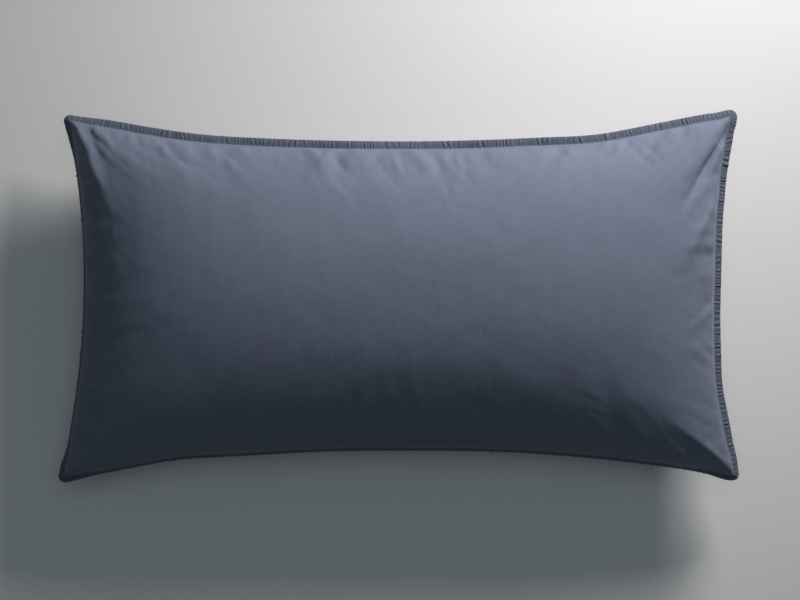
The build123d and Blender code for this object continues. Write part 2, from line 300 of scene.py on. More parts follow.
# Folds in the front panel, in mm: x and y of the start and the end, depth, negative in a ridge, and width
FOLDS = [
    (-427, 228, -381, 122, -4.0, 9),
    (-416, 231, -394, 194, 1.7, 3.6),
    (-401, 226, -375, 188, -1.8, 6),
    (437, 223, 376, 126, 6.0, 4.6),
    (417, 216, 355, 134, -1.6, 12),
    (425, 140, 370, 46, -4.6, 11),
    (438, -227, 370, -175, -3.0, 11),
    (-438, -237, -410, -213, -2.4, 8),
    # short ones along the back seam
    (-10, 187, -1, 160, -1.8, 3.4),
    (-2, 187, 7, 164, 1.4, 4),
    (71, 188, 80, 161, -1.9, 3.4),
    (79, 189, 88, 166, 1.4, 4),
    (-88, 185, -62, 150, 2.2, 9),
    (-100, 188, -80, 160, -1.2, 5),
    (30, 188, 27, 166, -1.0, 4),
    (302, 205, 287, 181, 1.8, 3.6),
    (295, 206, 280, 182, -1.2, 4),
    (-322, 205, -300, 182, -1.4, 4),
    (-352, 214, -334, 190, 1.6, 4),
    (-255, 196, -232, 168, -1.2, 4),
]


def fold_field(x, y):
    """The height that the folds add. Each one fades in at its start and runs out past its end."""
    field = np.zeros_like(x)
    for *ends, depth, width in FOLDS:
        start, end = np.array(ends).reshape(2, 2) * MM
        run = end - start
        length = np.linalg.norm(run)
        along = ((x - start[0]) * run[0] + (y - start[1]) * run[1]) / length**2
        across = ((x - start[0]) * run[1] - (y - start[1]) * run[0]) / length
        window = np.clip(along / 0.2 + 0.6, 0, 1) * np.clip((1.25 - along) / 0.7, 0, 1)
        spread = width * MM * (0.6 + 0.6 * np.clip(along, 0, 1))
        field -= depth * MM * np.exp(-(np.abs(across / spread) ** 1.6)) * window
    return field


def start_grids():
    """The domed start of both panels, with creases for the simulation to settle."""
    start_share, crease_height, crease_reach = 0.97, 1.5 * MM, 30 * MM
    u, v = grid_of(even(SIM_X), even(SIM_Y))
    flat = plan(u, v, SEEN_FLANGE)
    fullness = np.sqrt(np.clip(1 - u**4, 0, 1) * np.clip(1 - v**2, 0, 1))
    from_end, from_long = seam_distances(u, v)
    near_end = from_end < from_long
    over_end, over_long = np.where(near_end, np.sign(u), 0), np.where(near_end, 0, np.sign(v))
    grids = []
    for side, rise, seed in ((1, CROWN, 6), (-1, BELLY, 4)):
        field = np.zeros_like(u)
        for k, (mask, along, distance, span) in enumerate(four_sides(u, v)):
            rng = np.random.default_rng(10 * k + seed)
            count, strength = (110, 1.0) if span == CUT_X else (60, 0.6)
            field += mask * strength * pucker_field(rng, along, distance, count, span, crease_reach)
        # as much up as out over the nearer seam
        outwards = 0.7 * np.stack([over_end, over_long, np.full_like(u, side)], -1)
        grid = np.concatenate([flat, (side * rise * start_share * fullness)[..., None]], -1)
        grid += outwards * (field * crease_height)[..., None]
        if side > 0:
            grid[..., 2] += fold_field(grid[..., 0], grid[..., 1]) * (fullness > 0)
        grids.append(grid)
    return grids


def simulated(top, bottom):
    """Inflates two flat panels, sewn together along their edges, from the domed start."""
    nx, ny = SIM_X + 1, SIM_Y + 1
    index = numbered(nx, ny)
    under = index.copy()
    under[1:-1, 1:-1] = numbered(nx - 2, ny - 2, nx * ny)
    u, v = grid_of(even(SIM_X), even(SIM_Y))
    cut = np.stack([u * CUT_X / 2, v * CUT_Y / 2, np.zeros_like(u)], -1)
    apart = UP * 0.5 * MM
    cut_top = cut.copy()
    cut_top[1:-1, 1:-1] += apart
    flat = stacked(cut_top, (cut - apart)[1:-1, 1:-1])
    start = stacked(top, bottom[1:-1, 1:-1])
    faces = stacked(cells_of(index), cells_of(under)[..., ::-1])
    obj = mesh_object("inflating", flat, faces)
    obj.shape_key_add(name="cut")
    domed = obj.shape_key_add(name="domed")
    domed.data.foreach_set("co", start.astype(np.float32).ravel())
    domed.value = 1
    seam = obj.vertex_groups.new(name="seam")
    seam.add(sorted(rim_of(index).tolist()), 1.0, "REPLACE")
    cloth = obj.modifiers.new("cloth", "CLOTH")
    cloth.settings.rest_shape_key = obj.data.shape_keys.key_blocks["cut"]
    for name, value in CLOTH_SETTINGS.items():
        setattr(cloth.settings, name, value)
    cloth.settings.effector_weights.gravity = 0
    cloth.collision_settings.use_collision = False
    scene = bpy.context.scene
    for timed in (cloth.point_cache, scene):
        timed.frame_start, timed.frame_end = 1, SIM_FRAMES + 1
    for step in range(1, SIM_FRAMES + 1):
        scene.frame_set(step)
    settled = obj.evaluated_get(bpy.context.evaluated_depsgraph_get()).to_mesh()
    points = np.zeros(len(settled.vertices) * 3, np.float32)
    settled.vertices.foreach_get("co", points)
    points = points.reshape(-1, 3).astype(float)
    bpy.data.objects.remove(obj)
    scene.frame_set(1)
    return points[index], points[under]


def crowded(cells):
    """Values from -1 to 1 that lie closer together towards both ends."""
    places = even(cells)
    return (1 - CROWDING) * places + CROWDING * np.sin(places * math.pi / 2)


start_top, start_bottom = start_grids()
settled_top, settled_bottom = simulated(start_top, start_bottom)

fine_u, fine_v = grid_of(crowded(FINE_X), crowded(FINE_Y))
CUT_GRID = np.stack([fine_u * CUT_X / 2, fine_v * CUT_Y / 2], -1)
EDGE_DISTANCE = np.minimum(*seam_distances(fine_u, fine_v))


def finished(settled, side):
    """The simulated panel at full resolution, with the seam at z = 0."""
    grid = regridded(settled, crowded(FINE_X), crowded(FINE_Y))
    floor, softness = SEAM_Z - WELT, 5 * MM
    rise = grid[..., 2] * side
    if side > 0:
        grid[..., 2] = rise * (CROWN - WELT) / rise.max()
    else:  # pressed flat where it lies on the floor, with a soft bend round that
        rise = rise * (BELLY - WELT) / rise.max()
        grid[..., 2] = -(floor - softness * np.logaddexp(0, (floor - rise) / softness))
        grid[..., 2] = np.maximum(grid[..., 2], -floor)
    normals = grid_normals(grid, side)
    rng = np.random.default_rng(31 + side)
    x, y = CUT_GRID[..., 0], CUT_GRID[..., 1]
    inwards = np.clip(EDGE_DISTANCE / (20 * MM), 0, 1)
    near = np.exp(-EDGE_DISTANCE / (34 * MM))
    soft_waves = ripple(rng, x, y * 0.8, 60, 30 * MM, 110 * MM) * (0.12 + 0.2 * near) * MM
    crumple = np.abs(ripple(rng, x, y * 0.6, 60, 13 * MM, 36 * MM)) * (0.05 + 0.5 * near) * MM
    offset = (soft_waves + crumple) * inwards
    if side > 0:
        fold = fold_field(grid[..., 0], grid[..., 1])
        offset = offset + 0.8 * fold * np.clip(EDGE_DISTANCE / (25 * MM), 0.3, 1)
    pucker_height, pucker_reach = 0.35, 12 * MM
    for (mask, along, distance, span), count in zip(four_sides(fine_u, fine_v), (170, 150, 90, 90)):
        field = mask * pucker_field(rng, along, distance, count, span, pucker_reach)
        offset = offset + field * pucker_height * MM
    grid = grid + normals * offset[..., None]
    if side < 0:
        grid[..., 2] = np.maximum(grid[..., 2], -floor)
    grid[..., 2] += side * WELT
    return grid


TOP, BOTTOM = finished(settled_top, 1), finished(settled_bottom, -1)

# ---------------- flange

COLUMN_WIDTH = 0.95 * MM
FAN = 16  # steps that the flange takes round a corner
CORNER_REACH = 34 * MM  # how far from a corner its own width is felt
ROWS = [0.17, 0.4, 0.66, 0.88, 1.0]
ROW_WELT = [1.15, 1.3, 1.2, 0.85, 0.12]  # half thickness along the rows, in millimetres
ROW_RIDGE = [0.6, 1.0, 1.0, 0.75, 0.45]
FULL_CREST = 0.5 * MM  # the ridge height at which the ridge's tone is full: lighter on crests as wear, darker in valleys as painted shade


def loop_sides():
    """The seam's four sides, anticlockwise from the front left corner: grid indices, and the corner ahead."""
    i, j = np.arange(FINE_X + 1), np.arange(FINE_Y + 1)
    return [
        (FRONT, i, np.zeros_like(i), (1, -1)),
        (RIGHT, np.full_like(j, FINE_X), j, (1, 1)),
        (BACK, i[::-1], np.full_like(i, FINE_Y), (-1, 1)),
        (LEFT, np.zeros_like(j), j[::-1], (-1, -1)),
    ]


class Columns:
    """The flange's columns: the cell edge and share each one starts from, and the way it points out."""

    def __init__(self, seam):
        rows = []
        sides = loop_sides()
        for n, (facing, i, j, corner) in enumerate(sides):
            previous_corner = sides[n - 1][3]
            _, next_i, next_j, _ = sides[(n + 1) % 4]
            points = seam[i, j, :2]
            tangent = unit(np.gradient(points, axis=0))
            outwards = np.stack([tangent[:, 1], -tangent[:, 0]], 1)
            run = run_along(points)
            parts = np.maximum(1, np.round(np.diff(run) / COLUMN_WIDTH)).astype(int)
            places = [(cell, k / count) for cell, count in enumerate(parts) for k in range(count)]
            for cell, share in [*places, (len(i) - 2, 1.0)]:
                at = blend(run[cell], run[cell + 1], share)
                near_last = math.exp(-((at / CORNER_REACH) ** 2))
                near_next = math.exp(-(((run[-1] - at) / CORNER_REACH) ** 2))
                width = blend(SEEN_FLANGE[facing], CORNER_FLANGE[previous_corner], near_last)
                width = blend(width, CORNER_FLANGE[corner], near_next)
                out = blend(outwards[cell], outwards[cell + 1], share)
                rows.append(((i[cell], j[cell]), (i[cell + 1], j[cell + 1]), share, out, width))
            heading = seam[next_i[1], next_j[1], :2] - seam[next_i[0], next_j[0], :2]
            turn_from = math.atan2(outwards[-1][1], outwards[-1][0])
            turn = (math.atan2(-heading[0], heading[1]) - turn_from) % (2 * math.pi)
            for k in range(1, FAN):
                angle = turn_from + turn * k / FAN
                out = (math.cos(angle), math.sin(angle))
                rows.append(((i[-2], j[-2]), (i[-1], j[-1]), 1.0, out, CORNER_FLANGE[corner]))
        self.start, self.end, share, out, self.seen = (np.array(values) for values in zip(*rows))
        self.share, self.out = share[:, None], unit(out)
        self.count = len(rows)

    def along(self, grid):
        a, b = grid[self.start[:, 0], self.start[:, 1]], grid[self.end[:, 0], self.end[:, 1]]
        return a + (b - a) * self.share


middle_seam = (TOP + BOTTOM) / 2
columns = Columns(middle_seam)
base_line = columns.along(middle_seam)
base_line[:, 2] = 0.0
rim = base_line[:, :2] + columns.out * columns.seen[:, None]
rim_run = run_along(rim)
rim_total = rim_run[-1] + np.linalg.norm(rim[0] - rim[-1])
flange_rng = np.random.default_rng(77)


def rim_noise(shortest, longest, count):
    """Smooth random values round the flange's edge, of about unit height."""
    value = np.zeros_like(rim_run)
    low, high = max(1, int(rim_total / longest)), int(rim_total / shortest)
    for _ in range(count):
        turns = flange_rng.integers(low, high + 1)
        value += np.sin(2 * math.pi * turns * rim_run / rim_total + flange_rng.uniform(0, 2 * math.pi))
    return value / math.sqrt(count / 2)


# The ridges across the flange: their pitch, slant and height, and how the flange's edge rises and falls
pitch = np.clip(5.5 * MM * (1 + 0.25 * rim_noise(35 * MM, 140 * MM, 14)), 3.8 * MM, 9 * MM)
phase = np.cumsum(np.diff(np.concatenate([rim_run, [rim_total]])) / pitch)
phase = phase * round(phase[-1]) / phase[-1] * 2 * math.pi
ridge_skew = 2.5 * rim_noise(30 * MM, 160 * MM, 12)
ridge_height = np.clip(0.46 + 0.34 * rim_noise(9 * MM, 70 * MM, 30), 0.05, 1.15) * MM
edge_sway = 0.35 * MM * rim_noise(14 * MM, 60 * MM, 24)
edge_sway += 0.9 * MM * rim_noise(90 * MM, 400 * MM, 8)

droop = np.sqrt(np.maximum(FLANGE**2 - columns.seen**2, 0))
slope = np.arctan2(droop, columns.seen)
flange_normal = np.concatenate([columns.out * np.sin(slope)[:, None], np.cos(slope)[:, None]], 1)


def flange_rows(side):
    """Rows of points on the flange's upper (1), middle (0) or lower (-1) face, and each one's tone: wear on
    crests, painted shade in valleys.
    """
    rows, crest_wear_and_shade = [], []
    for t, welt, share in zip(ROWS, ROW_WELT, ROW_RIDGE):
        wave = 1 - 2 * (0.5 - 0.5 * np.cos(phase + ridge_skew * (t - 0.5))) ** 2.2
        crest = wave * ridge_height * share
        at = base_line.copy()
        at[:, :2] += columns.out * (columns.seen * t)[:, None]
        at[:, 2] -= droop * t
        at[:, 2] += edge_sway * t
        rows.append(at + flange_normal * (crest + side * welt * MM)[:, None])
        crest_wear_and_shade.append(crest / FULL_CREST)
    return np.array(rows), np.array(crest_wear_and_shade)


middle_rows, _ = flange_rows(0)

# ---------------- panels with their flange


def strip_faces(above, below):
    """The faces between two closed rows of vertices: triangles where the first row repeats a vertex."""
    cells = zip(above, below, np.roll(below, -1), np.roll(above, -1))
    return [[a, b, c] if a == d else [a, b, c, d] for a, b, c, d in cells]


def edge_key(a, b):
    return (a, b) if a < b else (b, a)


class Surface:
    """A case panel and its flange as one open surface, with what each vertex needs to know."""

    def __init__(self, grid, side):
        nx, ny = grid.shape[:2]
        ids = numbered(nx, ny)
        rows, crest_wear_and_shade = flange_rows(side)
        share = columns.share[:, 0]
        between = (share > 0) & (share < 1)
        extra = columns.along(grid)[between]
        first = nx * ny + len(extra)
        strip = numbered(len(rows), columns.count, first)

        # The seam's vertices, one for each column: the grid's own, and extra ones between them
        nodes = np.where(share[:, None] >= 1, columns.end, columns.start)
        row_zero = ids[nodes[:, 0], nodes[:, 1]]
        row_zero[between] = nx * ny + np.arange(len(extra))
        self.row_zero = row_zero

        self.verts = stacked(grid, extra, rows)
        normals = grid_normals(grid, side)
        strip_normals = np.tile(flange_normal * side, (len(rows), 1))
        self.normals = stacked(normals, columns.along(normals)[between], strip_normals)
        seam_cut = columns.along(CUT_GRID)
        cut_rows = [seam_cut + columns.out * FLANGE * t for t in ROWS]
        self.cut = stacked(CUT_GRID, seam_cut[between], *cut_rows)
        self.crest_wear_and_shade = np.concatenate([np.zeros(first), crest_wear_and_shade.ravel()])
        self.on_flange = np.arange(len(self.verts)) >= first
        self.middle = stacked(np.zeros((first, 3)), middle_rows)

        # The panel's faces, where those along the seam take in its extra vertices
        extras = {}
        for k in np.flatnonzero(between):
            a, b = ids[tuple(columns.start[k])], ids[tuple(columns.end[k])]
            extras.setdefault((a, b), []).append(row_zero[k])
        cells = cells_of(ids)
        at_edge = np.ones(cells.shape[:2], bool)
        at_edge[1:-1, 1:-1] = False
        panel = cells[~at_edge].tolist()
        for cell in cells[at_edge].tolist():
            ring = []
            for a, b in zip(cell, cell[1:] + cell[:1]):
                ring += [a, *extras.get((a, b), [])]
            panel.append(ring)
        flange = [face for pair in zip([row_zero, *strip], strip) for face in strip_faces(*pair)]
        self.faces = [face[::side] for face in panel + flange]
        self.inner_faces = [face[::side] for face in panel + strip_faces(row_zero, strip[-1])]
        self.seam_edges = {edge_key(a, b) for a, b in zip(row_zero, np.roll(row_zero, -1)) if a != b}


def percale_object(name, surface, side, keep=None, thickness=None, depth=None):
    """A closed piece of cloth from a surface: its outer face, its inner face and its edges.

    keep picks the faces of a piece that is only a part of the surface, and depth is how far each vertex lies
    inside the surface.
    """
    outer = surface.verts.copy()
    if depth is not None:
        outer = outer - surface.normals * depth[:, None]
    if thickness is None:
        thickness = np.full(len(outer), CLOTH)
    inner = outer - surface.normals * thickness[:, None]
    inner[surface.on_flange] = (surface.middle + surface.normals * PLY_GAP)[surface.on_flange]
    # at the seam the plies are drawn together
    inner[surface.row_zero, 2] = side * PLY_GAP + 0.3 * inner[surface.row_zero, 2]
    if depth is not None:
        deep = surface.row_zero[depth[surface.row_zero] > 0]
        inner[deep] = outer[deep] - surface.normals[deep] * CLOTH
    faces, inner_faces = surface.faces, surface.inner_faces
    if keep is not None:
        centre_x = np.array([surface.cut[f, 0].mean() for f in faces])
        flange = np.array([surface.on_flange[f].any() for f in faces])
        faces = inner_faces = [f for f, kept in zip(faces, keep(centre_x, flange)) if kept]
    used = np.unique(np.concatenate([np.array(f) for f in faces]))
    inner_used = np.unique(np.concatenate([np.array(f) for f in inner_faces]))
    place, inner_place = np.full(len(outer), -1), np.full(len(outer), -1)
    place[used] = np.arange(len(used))
    inner_place[inner_used] = len(used) + np.arange(len(inner_used))
    border = {(a, b) for f in faces for a, b in zip(f, f[1:] + f[:1])}
    border = sorted((a, b) for a, b in border if (b, a) not in border)
    walls = [[int(i) for i in (place[b], place[a], inner_place[a], inner_place[b])] for a, b in border]
    outer_faces = [place[f] for f in faces]
    inner_faces = [inner_place[f[::-1]] for f in inner_faces]
    verts = np.concatenate([outer[used], inner[inner_used]])
    obj = smooth_object(name, verts, outer_faces + inner_faces + walls)
    mesh = obj.data
    both = np.concatenate([used, inner_used])
    set_attribute(mesh, "cloth", np.pad(surface.cut[both], ((0, 0), (0, 1))))
    set_attribute(mesh, "crest", surface.crest_wear_and_shade[both])
    # the flange mask, which the cloth's shader uses to paint shade over the whole flange
    set_attribute(mesh, "flange", surface.on_flange[both].astype(float))
    creased = {edge_key(*pair) for wall in walls for pair in (wall[:2], wall[2:])}
    creased |= {edge_key(int(place[a]), int(place[b])) for a, b in surface.seam_edges}
    ends = np.zeros(len(mesh.edges) * 2, np.int32)
    mesh.edges.foreach_get("vertices", ends)
    sharp = np.array([edge_key(a, b) in creased for a, b in ends.reshape(-1, 2).tolist()])
    mesh.attributes.new("sharp_edge", "BOOLEAN", "EDGE").data.foreach_set("value", sharp)
    return obj


top_surface, bottom_surface = Surface(TOP, 1), Surface(BOTTOM, -1)


def column_at(x):
    return np.argmin(np.abs(BOTTOM[:, FINE_Y // 2, 0] - x))


hem_column, flap_column = column_at(PANEL_HEM_X), column_at(FLAP_HEM_X)
HEM_CUT, FLAP_CUT = CUT_GRID[hem_column, 0, 0], CUT_GRID[flap_column, 0, 0]
CELL = CUT_GRID[hem_column + 1, 0, 0] - HEM_CUT

# A hem is folded cloth, and the flap lies under the panel: a little way in at first, and deeper below its hem
PANEL_HEM_PLIES, FLAP_HEM_PLIES = 3.0, 2.6
FLAP_DEPTH, FREE_FLAP_DEPTH = 1.9 * MM, 1.2 * MM
cut_x = bottom_surface.cut[:, 0]
panel_thickness = np.where(cut_x > HEM_CUT - HEM, PANEL_HEM_PLIES, 1.0) * CLOTH
flap_thickness = np.where(cut_x < FLAP_CUT + HEM, FLAP_HEM_PLIES, 1.0) * CLOTH
from_edge = np.concatenate([EDGE_DISTANCE.ravel(), np.zeros(len(cut_x) - EDGE_DISTANCE.size)])
free_depth = FREE_FLAP_DEPTH * np.clip(from_edge / (18 * MM), 0, 1)
flap_depth = np.where(cut_x < HEM_CUT + 1.5 * CELL, FLAP_DEPTH, free_depth)
flap_depth[bottom_surface.on_flange] = 0.0
flap_depth[bottom_surface.row_zero[cut_x[bottom_surface.row_zero] > HEM_CUT]] = 0.0

front_panel = percale_object("case_front_panel_cloth", top_surface, 1)
back_panel = percale_object(
    "case_back_panel_cloth",
    bottom_surface,
    -1,
    keep=lambda x, flange: x < HEM_CUT,
    thickness=panel_thickness,
)
back_flap = percale_object(
    "case_back_flap_cloth",
    bottom_surface,
    -1,
    keep=lambda x, flange: np.where(flange, x > HEM_CUT + 0.3 * CELL, x > FLAP_CUT),
    thickness=flap_thickness,
    depth=flap_depth,
)

# ---------------- threads

STITCH_PITCH, STITCH_LENGTH = 3.1 * MM, 2.5 * MM
STATIONS, STITCH_SIDES = 7, 6


def stitches(name, path, normals, radius, closed=True):
    """A row of separate stitches along a path, each one arched, with its ends down in the cloth."""
    if closed:
        path, normals = np.concatenate([path, path[:1]]), np.concatenate([normals, normals[:1]])
    run = run_along(path)
    count = int(run[-1] / STITCH_PITCH)
    centres = (np.arange(count) + 0.5) * run[-1] / count
    stations = np.linspace(-0.5, 0.5, STATIONS)
    at = (centres[:, None] + stations[None] * STITCH_LENGTH).ravel() % run[-1]
    line = at_runs(at, run, path).reshape(count, STATIONS, 3)
    up = unit(at_runs(at, run, normals).reshape(count, STATIONS, 3))
    across = np.cross(unit(np.gradient(line, axis=1)), up)
    arch = (0.75 - 6.5 * stations**2) * radius
    thickness = np.sqrt(np.clip(1.02 - (2 * stations) ** 4, 0.04, 1)) * radius
    angles = np.arange(STITCH_SIDES)[:, None] * math.pi / 3
    ring = across[:, :, None] * np.cos(angles) + up[:, :, None] * np.sin(angles)
    verts = line[:, :, None] + up[:, :, None] * arch[:, None, None]
    verts = (verts + ring * thickness[:, None, None]).reshape(-1, 3)
    ids = numbered(STATIONS, STITCH_SIDES)
    on = np.roll(ids, -1, 1)
    one = np.stack([ids[:-1], on[:-1], on[1:], ids[1:]], -1).reshape(-1, 4)
    offsets = np.arange(count) * ids.size
    faces = (one[None] + offsets[:, None, None]).reshape(-1, 4).tolist()
    for offset in offsets:
        faces += [ids[0, ::-1] + offset, ids[-1] + offset]
    return smooth_object(name, verts, faces)


def topstitch(name, side):
    """The row of stitches beside the seam, on one face of the flange."""
    rows, _ = flange_rows(side)
    return stitches(name, rows[0], flange_normal * side, 0.24 * MM)


def hem_stitches(name, column, depth, radius):
    """A row of stitches across the belly, on cloth that lies that far inside its surface."""
    line, normals = BOTTOM[column, 1:-1], grid_normals(BOTTOM, -1)[column, 1:-1]
    return stitches(name, line - normals * depth, normals, radius, closed=False)


def loop_tangents(path):
    return unit(np.roll(path, -1, 0) - np.roll(path, 1, 0))


def tube(name, path, radius, sides, twist=None):
    """A closed round cord along a loop. twist gives it strands: their count, depth and length."""
    tangents = loop_tangents(path)
    up = np.tile(UP, (len(path), 1))
    up = unit(up - tangents * (up * tangents).sum(1, keepdims=True))
    across = np.cross(tangents, up)
    angles = np.arange(sides) * 2 * math.pi / sides
    widths = np.full((len(path), sides), radius)
    if twist:
        strands, depth, lay = twist
        run = np.cumsum(np.linalg.norm(path - np.roll(path, 1, 0), axis=1))
        turns = round(run[-1] / lay)
        wave = strands * (angles[None] + 2 * math.pi * turns * run[:, None] / run[-1])
        widths = radius - depth * (1 - np.abs(np.cos(wave / 2)))
    ring = across[:, None] * np.cos(angles)[:, None] + up[:, None] * np.sin(angles)[:, None]
    verts = path[:, None] + ring * widths[..., None]
    ids = numbered(len(path), sides)
    beside, on = np.roll(ids, -1, 1), np.roll(ids, -1, 0)
    faces = np.stack([ids, beside, np.roll(beside, -1, 0), on], -1).reshape(-1, 4)
    return smooth_object(name, verts.reshape(-1, 3), faces)


topstitch_front = topstitch("case_topstitch_front_thread", 1)
topstitch_back = topstitch("case_topstitch_back_thread", -1)
edge_thread = tube("case_edge_seam_thread_line", middle_rows[2][::2], 0.05 * MM, 5)
hem_cells = round(22 * MM / CELL)
panel_hem_thread = hem_stitches(
    "case_panel_hem_thread_line", hem_column - hem_cells, 0.05 * MM, 0.22 * MM
)
flap_hem_thread = hem_stitches(
    "case_flap_hem_thread_line", flap_column + hem_cells, 1.95 * MM, 0.18 * MM
)

# ---------------- insert and labels

INSERT_X, INSERT_Y = 150, 82
NOMINAL_CUT = (0.9, 0.5)  # the flat size that an inner layer's weave is laid out on


def closed_between(name, outer, inner, side=1, raised=SEAM_Z):
    """A closed piece between two grids of the same size."""
    nx, ny = outer.shape[:2]
    ids, count = numbered(nx, ny), nx * ny
    cells = cells_of(ids)[..., ::side]
    border = rim_of(ids)
    after = np.roll(border, -1)
    walls = np.stack([after, border, border + count, after + count], 1)[:, ::side]
    faces = stacked(cells, cells[..., ::-1] + count, walls)
    obj = smooth_object(name, stacked(outer, inner), faces, raised)
    u, v = grid_of(even(nx - 1) * NOMINAL_CUT[0] / 2, even(ny - 1) * NOMINAL_CUT[1] / 2)
    flat = np.stack([u.ravel(), v.ravel(), np.zeros(count)], 1)
    set_attribute(obj.data, "cloth", np.concatenate([flat, flat]))
    return obj


def eroded(grid, side, reach):
    """The grid lowered to its lowest point within reach cells, but to no less than 0.55 of its height."""
    rise = grid[..., 2] * side
    padded = np.pad(rise, reach, "edge")
    windows = np.lib.stride_tricks.sliding_window_view(padded, (2 * reach + 1, 2 * reach + 1))
    lowest = np.maximum(windows.min((-1, -2)), 0.55 * rise)
    return np.concatenate([grid[..., :2], (lowest * side)[..., None]], -1)


def calmed(grid, side):
    """A panel's shape without its folds, which the insert spans."""
    grid = smoothed(eroded(grid, side, 4), 8)
    grid = regridded(grid, even(INSERT_X), even(INSERT_Y))
    grid[..., 2] -= side * WELT
    return grid


CALM = {1: calmed(TOP, 1), -1: calmed(BOTTOM, -1)}


def inward(side, shares, lump, seed, lift, sizes=(12, 45)):
    """The panel's shape drawn in towards the middle of the seam plane, with its own lumps, all in mm."""
    grid = CALM[side] * np.array(shares)
    if lump:
        rng = np.random.default_rng(seed)
        field = ripple(rng, grid[..., 0], grid[..., 1], 70, sizes[0] * MM, sizes[1] * MM)
        u, v = grid_of(even(INSERT_X), even(INSERT_Y))
        # no lumps at the seam: they grow over a twelfth of the half length and a sixth of the half width
        calm = np.clip(np.minimum((1 - np.abs(u)) * 12, (1 - np.abs(v)) * 6), 0, 1)
        grid = grid - grid_normals(grid, side) * (np.abs(field) * (lump * MM) * calm)[..., None]
    grid[..., 2] += side * (lift * MM)
    return grid


def thin(name, grid, side, thickness):
    return closed_between(name, grid, grid - grid_normals(grid, side) * thickness, side)


ticking_top_grid = inward(1, (0.972, 0.944, 0.965), 0.5, 5, 0.4)
ticking_bottom_grid = inward(-1, (0.972, 0.944, 0.945), 0.5, 6, 0.4)
ticking_top = thin("ticking_top_panel_cloth", ticking_top_grid, 1, 0.35 * MM)
ticking_bottom = thin("ticking_bottom_panel_cloth", ticking_bottom_grid, -1, 0.35 * MM)


def evened(path, spacing):
    """A closed path with its corners rounded and its points evenly spaced."""
    closed = np.concatenate([path, path[:1]])
    run = run_along(closed)
    at = np.linspace(0, run[-1], int(run[-1] / spacing), endpoint=False)
    points = at_runs(at, run, closed)
    for _ in range(int(20 * (2 * MM / spacing) ** 2)):  # rounds as much at any spacing
        points = 0.5 * points + 0.25 * (np.roll(points, 1, 0) + np.roll(points, -1, 0))
    return points


def offset_loop(path, distance):
    tangents = loop_tangents(path)
    out = np.stack([tangents[:, 1], -tangents[:, 0], np.zeros(len(path))], 1)
    return path + out * distance


insert_loop = rim_of(ticking_top_grid)
insert_loop[:, 2] = 0.0
piping_line = evened(insert_loop, 1.6 * MM)
cord_loop = offset_loop(piping_line, 2.2 * MM)
piping_cord = tube("piping_cord_strands", cord_loop, 1.3 * MM, 12, (3, 0.35 * MM, 9 * MM))
piping_cover = tube("piping_cover_sleeve", cord_loop, 1.9 * MM, 14)


def piping_tail():
    """The flat tail that joins the piping's sleeve to the insert's seam."""
    rings = [offset_loop(piping_line, distance) for distance in (0.4 * MM, -1.5 * MM, -4.0 * MM)]
    verts = [ring + UP * z for z in (0.22 * MM, -0.22 * MM) for ring in rings]
    ids = numbered(6, len(piping_line))
    on = np.roll(ids, -1, 1)
    around = ((0, 1), (1, 2), (2, 5), (5, 4), (4, 3), (3, 0))
    faces = [np.stack([ids[a], ids[b], on[b], on[a]], -1) for a, b in around]
    return smooth_object("tail", np.concatenate(verts), np.concatenate(faces))


tail = piping_tail()
with bpy.context.temp_override(
    active_object=piping_cover, selected_editable_objects=[piping_cover, tail]
):
    bpy.ops.object.join()

seam_loop = offset_loop(evened(insert_loop, 3 * MM), -2.4 * MM) + UP * 0.3 * MM
insert_thread = tube("insert_seam_thread_line", seam_loop, 0.08 * MM, 5)

sheet_top_grid = inward(1, (0.962, 0.922, 0.616), 0.5, 8, 0.9)
sheet_bottom_grid = inward(-1, (0.962, 0.922, 0.72), 0.5, 9, 0.9)
sheet_top = thin("chamber_top_sheet_cloth", sheet_top_grid, 1, 0.3 * MM)
sheet_bottom = thin("chamber_bottom_sheet_cloth", sheet_bottom_grid, -1, 0.3 * MM)

top_down = closed_between(
    "top_down_layer_fill",
    inward(1, (0.967, 0.936, 0.95), 1.6, 12, 0.9),
    inward(1, (0.964, 0.927, 0.63), 0.0, 12, 1.0),
)
bottom_down = closed_between(
    "bottom_down_layer_fill",
    inward(-1, (0.967, 0.936, 0.925), 1.2, 13, 0.9),
    inward(-1, (0.964, 0.927, 0.74), 0.0, 13, 1.0),
    side=-1,
)
core = closed_between(
    "feather_core_fill",
    inward(1, (0.953, 0.905, 0.6), 2.4, 14, 0.3, (9, 38)),
    inward(-1, (0.953, 0.905, 0.69), 2.4, 15, 0.3, (9, 38)),
)


def label(node, z, seed):
    """A blank woven label in the place of a node: a fine grid with folded selvedges and a soft wave."""
    low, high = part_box(node)
    centre, size = (low + high) / 2, high - low
    u, v = grid_of(even(40), even(28))
    x, y = centre[0] + u * size[0] / 2, centre[1] + v * size[1] / 2
    wave = ripple(np.random.default_rng(seed), x, y, 20, 18 * MM, 50 * MM) * 0.04 * MM
    top = np.stack([x, y, z + wave + 0.1 * MM], -1)
    top[..., 2] += 0.06 * MM * (np.abs(v) > 0.9)
    return closed_between(node + "_tape", top, top - UP * 0.22 * MM, raised=0.0)


care_label = label("case_care_label", 1.15 * MM, 3)
insert_label = label("insert_label", 3.2 * MM, 4)

# ---------------- materials


